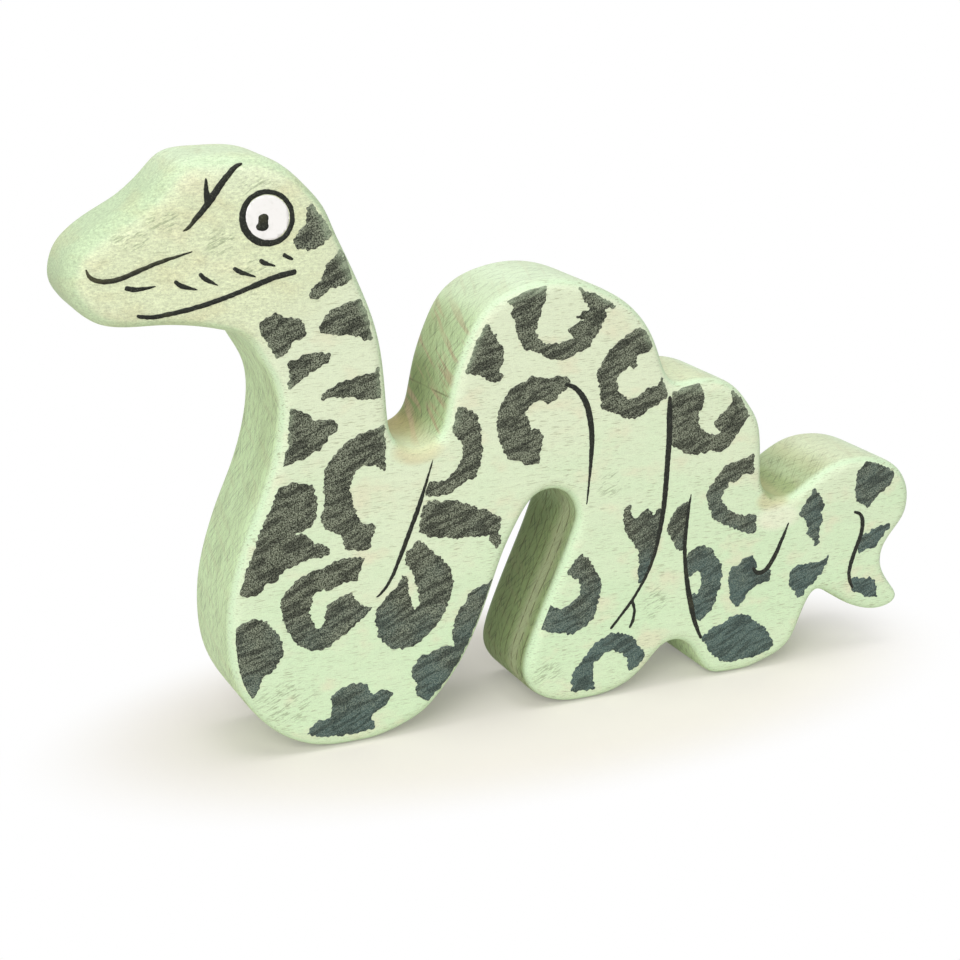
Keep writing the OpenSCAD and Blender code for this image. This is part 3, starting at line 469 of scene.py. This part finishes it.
def tooth(vert, per_mm, seed):
    """How far the brush slipped in or out at a point of a film's rim, from -1 to 1."""
    with_brush, over_brush = by_brush(vert.co.x, vert.co.z)
    return noise.noise(Vector((with_brush / MM * per_mm[0], seed, over_brush / MM * per_mm[1])))


def fringed(shape, face, teeth, seed, rounding):
    """Moves the rim of a film's face in and out, less where the rounded edge cuts it off."""
    for edge_cuts in range(1, MOST_EDGE_CUTS):
        long_edges = [
            e for e in face.edges
            if edge_cuts <= e.calc_length() / EDGE_STEP < edge_cuts + 1
        ]
        if long_edges:
            bmesh.ops.bisect_edges(shape, edges=long_edges, cuts=edge_cuts)
    corners = [loop.vert for loop in face.loops]
    for _ in range(rounding):
        ahead = corners[1:] + corners[:1]
        halfway = [(corners[i - 1].co + ahead[i].co) / 2 for i in range(len(corners))]
        for vert, middle in zip(corners, halfway):
            vert.co = vert.co.lerp(middle, 0.5)
    is_blotch = teeth > LINE_TEETH
    places = []
    for i, vert in enumerate(corners):
        run = corners[(i + 1) % len(corners)].co - corners[i - 1].co
        outward = run.cross(face.normal).normalized()
        small = tooth(vert, SMALL_TEETH_PER_MM, seed)
        large = tooth(vert, LARGE_TEETH_PER_MM, seed + LARGE_TEETH_SEED)
        reach = teeth * (small + LARGE_TEETH_SHARE * large)
        if is_blotch and line_tree.find((vert.co.x, 0, vert.co.z))[2] < UNDER_LINE:
            reach = TUCKED
        free = masked_in(vert.co)[1] if is_blotch else 1
        place = vert.co + outward * reach * free
        places.append(masked_in(place)[0] if is_blotch else place)
    for vert, place in zip(corners, places):
        vert.co = place


def pressed_ring(shape):
    """Thickens the eye's ring inwards at its lower left, where the brush was pressed down."""
    across = [v.co.x for v in shape.verts]
    upwards = [v.co.z for v in shape.verts]
    middle = Vector((min(across) + max(across), 0, min(upwards) + max(upwards))) / 2
    inner_radius = min(Vector((v.co.x - middle.x, v.co.z - middle.z)).length for v in shape.verts)
    for vert in shape.verts:
        outwards = Vector((vert.co.x - middle.x, 0, vert.co.z - middle.z))
        if outwards.length < inner_radius * RING_INNER:
            outwards.normalize()
            vert.co -= outwards * RING_PRESSED * max(0, PRESSED_ACROSS * outwards.x + PRESSED_UP * outwards.z)


def cut_at(shape, point, across):
    """Cuts a film's faces along a plane through a point, square to the given way."""
    cut = [*shape.verts, *shape.edges, *shape.faces]
    bmesh.ops.bisect_plane(shape, geom=cut, plane_co=point, plane_no=across)


def film_outlines(node_name, side):
    """The outer faces of a CAD film, each patch as one face, and a ring as two halves."""
    shape = merged_copy(node_name)
    under = [f for f in shape.faces if f.normal.y * side < LOOKS_OUT]
    bmesh.ops.delete(shape, geom=under, context="FACES")
    if "ring" not in node_name:
        bmesh.ops.dissolve_faces(shape, faces=shape.faces[:])
        return shape
    middle = sum((v.co.x for v in shape.verts), 0.0) / len(shape.verts)
    cut_at(shape, (middle, 0, 0), (1, 0, 0))
    for half in (-1, 1):
        part = [f for f in shape.faces if (f.calc_center_median().x - middle) * half > 0]
        bmesh.ops.dissolve_faces(shape, faces=part)
    return shape


def cut_in_grid(shape):
    """Cuts a film into small squares, so that it can follow the rounded wood."""
    low = [min(v.co[axis] for v in shape.verts) for axis in range(3)]
    high = [max(v.co[axis] for v in shape.verts) for axis in range(3)]
    for axis in (0, 2):
        for step in range(1, int((high[axis] - low[axis]) / GRID) + 1):
            point = Vector((0, 0, 0))
            point[axis] = low[axis] + step * GRID
            across = Vector((0, 0, 0))
            across[axis] = 1
            cut_at(shape, point, across)
    bmesh.ops.triangulate(shape, faces=shape.faces[:])


def printed_film(node_name, material, teeth):
    """A thin film with a fringed rim that lies on the wood where a CAD film is."""
    side = SIDES[node_name.split("_")[0]]
    is_ring = "ring" in node_name
    shape = film_outlines(node_name, side)
    for number, face in enumerate(shape.faces[:]):
        fringed(shape, face, teeth, SEED_STEP * number, 0 if is_ring else ROUNDING_STEPS)
    if is_ring:
        pressed_ring(shape)
    cut_in_grid(shape)
    lift = FILM_TOP * max([1, *[share for word, share in FILM_LIFTS.items() if word in node_name]])
    for vert in shape.verts:
        vert.co = onto_board(vert.co, side, lift)
    shape.normal_update()
    skin = bmesh.ops.extrude_face_region(shape, geom=shape.faces[:])
    sunk = [v for v in skin["geom"] if isinstance(v, bmesh.types.BMVert)]
    bmesh.ops.translate(shape, verts=sunk, vec=Vector((0, -side * FILM_T, 0)))
    bmesh.ops.recalc_face_normals(shape, faces=shape.faces[:])
    gap_layer = shape.verts.layers.float.new("rim_gap")
    for vert in shape.verts:
        vert[gap_layer] = outline_tree.find((vert.co.x, 0, vert.co.z))[2] / MM
    return finished_piece("print_" + node_name, shape, material)


def lay_films(kinds, material, teeth):
    """Lays films of these kinds on both faces of the board."""
    for side_name in SIDES:
        for kind in kinds:
            node_name = side_name + "_" + kind
            film = printed_film(node_name, material, teeth)
            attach(film, "root")
            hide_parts(node_name)


INK_GREY = paint(97, 103, 86)
INK_BLUE = paint(86, 108, 105)
INK_DARK = paint(24, 28, 23)
INK_PALE = paint(158, 165, 144)
INK_RIM = paint(172, 191, 160)
INK_ROUGHNESS = 0.75
INK_GLOSS = 0.25
INK_DEPTH = 0.004 * MM

ink, start = new_material("brushed_ink")
x, y, z = in_millimetres(start)
ink_clouds = start.grains(x * 0.15, y * 0.1, z * 0.15)
low_and_back = (x * 0.003 - z * 0.018 + ink_clouds * 0.6 + 0.55).rises(0.15, 0.75)
ink_colour = low_and_back.mixed(INK_GREY, INK_BLUE)
with_brush, over_brush = by_brush(x, z)
brush_wobble = start.grains(x * 0.12, y * 0.1, z * 0.12)
brush = start.grains(with_brush * 0.17, y * 0.1, (over_brush + brush_wobble * 2) * 0.95, 2.0, 0.6)
strokes = brush.rises(0.46, 0.58) * (0.6 - low_and_back * 0.15)
rim_gap = start.node("ShaderNodeAttribute", {"attribute_name": "rim_gap"}, {}, "Fac")
rubbed_off = (1 - (rim_gap + ink_clouds * 2 - 1).rises(0.9, 3.0)) * z.rises(35, 68)
ink_colour = (rubbed_off * (0.85 - strokes * 0.5)).mixed(ink_colour, INK_RIM)
ink_dust = start.grains(x * 4.4, y * 4.4, z * 4.4, 2.0, 0.8)
pale_specks = ink_dust.rises(0.5, 0.6) * (0.9 - low_and_back * 0.6)
ink_colour = pale_specks.mixed(ink_colour, INK_PALE)
dark_specks = (1 - ink_dust).rises(0.49, 0.6) * (0.95 - low_and_back * 0.4 - rubbed_off * 0.55)
ink_colour = dark_specks.mixed(ink_colour, INK_DARK)
ink_colour = (1 - strokes * (1 - rubbed_off * 0.6)).shaded(ink_colour)
surface(start, ink_colour, INK_ROUGHNESS - ink_dust * 0.2, ink_dust, INK_DEPTH, INK_GLOSS)

BLOTCHES = [
    "neck_bands", "coil_blotches", "hump_blotches", "middle_blotches", "rear_blotches", "tail_blotches",
]
lay_films(BLOTCHES, ink, BLOTCH_TEETH)

# The drawn lines: nearly black strokes of a fine brush along the coils, the mouth and the brow.
# They are drawn over the stain after the blotches, and taper where the brush lifts off.
# The eyes' rings and pupils are drawn with the same brush and ink.

LINE_BLACK = paint(30, 33, 27)
LINE_OLIVE = paint(62, 62, 42)
LINE_ROUGHNESS = 0.7
LINE_DEPTH = 0.02 * MM
LIP_UP = 89
LIP_ACROSS = -68
LIP_SLOPE = 0.3
LIP_HALF = 4
LIP_END = -57

line_ink, start = new_material("black_line_ink")
x, y, z = in_millimetres(start)
line_clouds = start.grains(x * 0.3, y * 0.3, z * 0.3)
on_lip = (1 - abs(z - LIP_UP - (x - LIP_ACROSS) * LIP_SLOPE) * (1 / LIP_HALF)).rises(0.0, 0.5)
on_lip = on_lip * (LIP_END - x).rises(0, 6)
thin_ink = start.math_node("MAXIMUM", line_clouds.rises(0.55, 0.8) * 0.6, on_lip)
line_colour = thin_ink.mixed(LINE_BLACK, LINE_OLIVE)
line_dust = start.grains(x * 4, y * 4, z * 4, 2.0, 0.7)
line_colour = (line_dust.rises(0.55, 0.75) * 0.25).mixed(line_colour, INK_PALE)
surface(start, line_colour, LINE_ROUGHNESS - line_dust * 0.15, line_dust, LINE_DEPTH, INK_GLOSS)

LINES = ["coil_lines", "mouth_lines", "brow_line", "cheek_ticks", "eye_ring", "pupil"]
lay_films(LINES, line_ink, LINE_TEETH)

# The whites of the eyes: a dot of opaque white paint on each side of the head.
# They are painted before the ring and the pupil, with a faint unevenness from the brush.

EYE_WHITE = paint(246, 245, 244)
EYE_SHADE = paint(236, 236, 233)
EYE_ROUGHNESS = 0.45
EYE_GLOSS = 0.4
EYE_DEPTH = 0.02 * MM
WHITE_TEETH = 0.05 * MM

white_paint, start = new_material("white_eye_paint")
x, y, z = in_millimetres(start)
white_clouds = start.grains(x * 0.9, y * 0.9, z * 0.9, 3.0)
white_colour = white_clouds.rises(0.5, 0.8).mixed(EYE_WHITE, EYE_SHADE)
surface(start, white_colour, EYE_ROUGHNESS + white_clouds * 0.2, white_clouds, EYE_DEPTH, EYE_GLOSS)

lay_films(["eye_white"], white_paint, WHITE_TEETH)

# The table: a sheet of pale paper under the toy, which takes the toy's shadow.
# Away from the toy it fades into the white of the room, so that its far edge doesn't show.

TABLE_HALF = 0.6
PAPER_PALE = paint(236, 231, 223)
PAPER_SHOWN = paint(252, 249, 243)
WHITE = (1, 1, 1, 1)
LIT_ACROSS = 1
LIT_HALF_WIDE = 86
LIT_HALF_DEEP = 42
GLOW_NEAR = 0.2


def looked_at(start):
    """1 for what is seen, straight or in gloss or through glass, and 0 for light that only lights."""
    straight, mirrored, through = [
        start.node("ShaderNodeLightPath", out="Is " + way + " Ray")
        for way in ("Camera", "Glossy", "Transmission")
    ]
    return start.math_node("MAXIMUM", straight, start.math_node("MAXIMUM", mirrored, through))


table_paper, start = new_material("pale_table_paper")
x, y, z = in_millimetres(start)
sideways = (x - LIT_ACROSS) * (1 / LIT_HALF_WIDE)
forward = y * (1 / LIT_HALF_DEEP)
far_off = start.math_node("SQRT", sideways * sideways + forward * forward).rises(0.6, 1.1)
paper = start.node("ShaderNodeBsdfDiffuse", {}, {"Color": PAPER_PALE})
shown = far_off.mixed(PAPER_SHOWN, WHITE)
glow = start.node("ShaderNodeEmission", {}, {"Color": shown, "Strength": 1.0})
glow_share = looked_at(start) * (far_off * (1 - GLOW_NEAR) + GLOW_NEAR)
sheet = start.node("ShaderNodeMixShader", {}, {0: glow_share, 1: paper, 2: glow})
joined_to_output(sheet, "ShaderNodeOutputMaterial")

table_shape = bmesh.new()
bmesh.ops.create_grid(table_shape, x_segments=2, y_segments=2, size=TABLE_HALF)
table = finished_piece("table", table_shape, table_paper)

# The light: a large soft window lamp in front on the left, and a weaker ceiling lamp overhead.
# The room round the toy looks white, but gives off only a little light.

ROOM_LIGHT = 0.25
LAMPS_AIM = Vector((0, 0, 0.04))
WINDOW_PLACE = Vector((-1.00, -1.40, 1.15))
WINDOW_SIZE = 1.2
WINDOW_POWER = 25.5
CEILING_PLACE = Vector((-0.10, -0.15, 1.70))
CEILING_SIZE = 1.0
CEILING_POWER = 15.0

world = bpy.data.worlds.new("white_room")
bpy.context.scene.world = world
world.use_nodes = True
world.node_tree.nodes.clear()
start = Wire(world.node_tree)
strength = looked_at(start) * (1 - ROOM_LIGHT) + ROOM_LIGHT
room = start.node("ShaderNodeBackground", {}, {"Color": WHITE, "Strength": strength})
joined_to_output(room, "ShaderNodeOutputWorld")


def soft_lamp(name, place, size, power):
    """A square lamp that looks at the middle of the toy."""
    lamp = bpy.data.lights.new(name, "AREA")
    lamp.size = size
    lamp.energy = power
    holder = bpy.data.objects.new(name, lamp)
    holder.location = place
    holder.rotation_euler = (LAMPS_AIM - place).to_track_quat("-Z", "Y").to_euler()
    bpy.context.scene.collection.objects.link(holder)


soft_lamp("window_lamp", WINDOW_PLACE, WINDOW_SIZE, WINDOW_POWER)
soft_lamp("ceiling_lamp", CEILING_PLACE, CEILING_SIZE, CEILING_POWER)

# The camera: in front of the left face, a little towards the head and above it.
# Its lens is rather long, which keeps the perspective mild.

CAMERA_PLACE = Vector((-0.1454, -0.3069, 0.1483))
CAMERA_AIM = Vector((-0.0064, 0, 0.04153))
CAMERA_LENS = 75
CAMERA_SENSOR = 36

camera_data = bpy.data.cameras.new("camera")
camera_data.lens = CAMERA_LENS
camera_data.sensor_width = CAMERA_SENSOR
camera = bpy.data.objects.new("camera", camera_data)
camera.location = CAMERA_PLACE
camera.rotation_euler = (CAMERA_AIM - CAMERA_PLACE).to_track_quat("-Z", "Y").to_euler()
bpy.context.scene.collection.objects.link(camera)
bpy.context.scene.camera = camera
bpy.context.scene.view_settings.view_transform = "Standard"
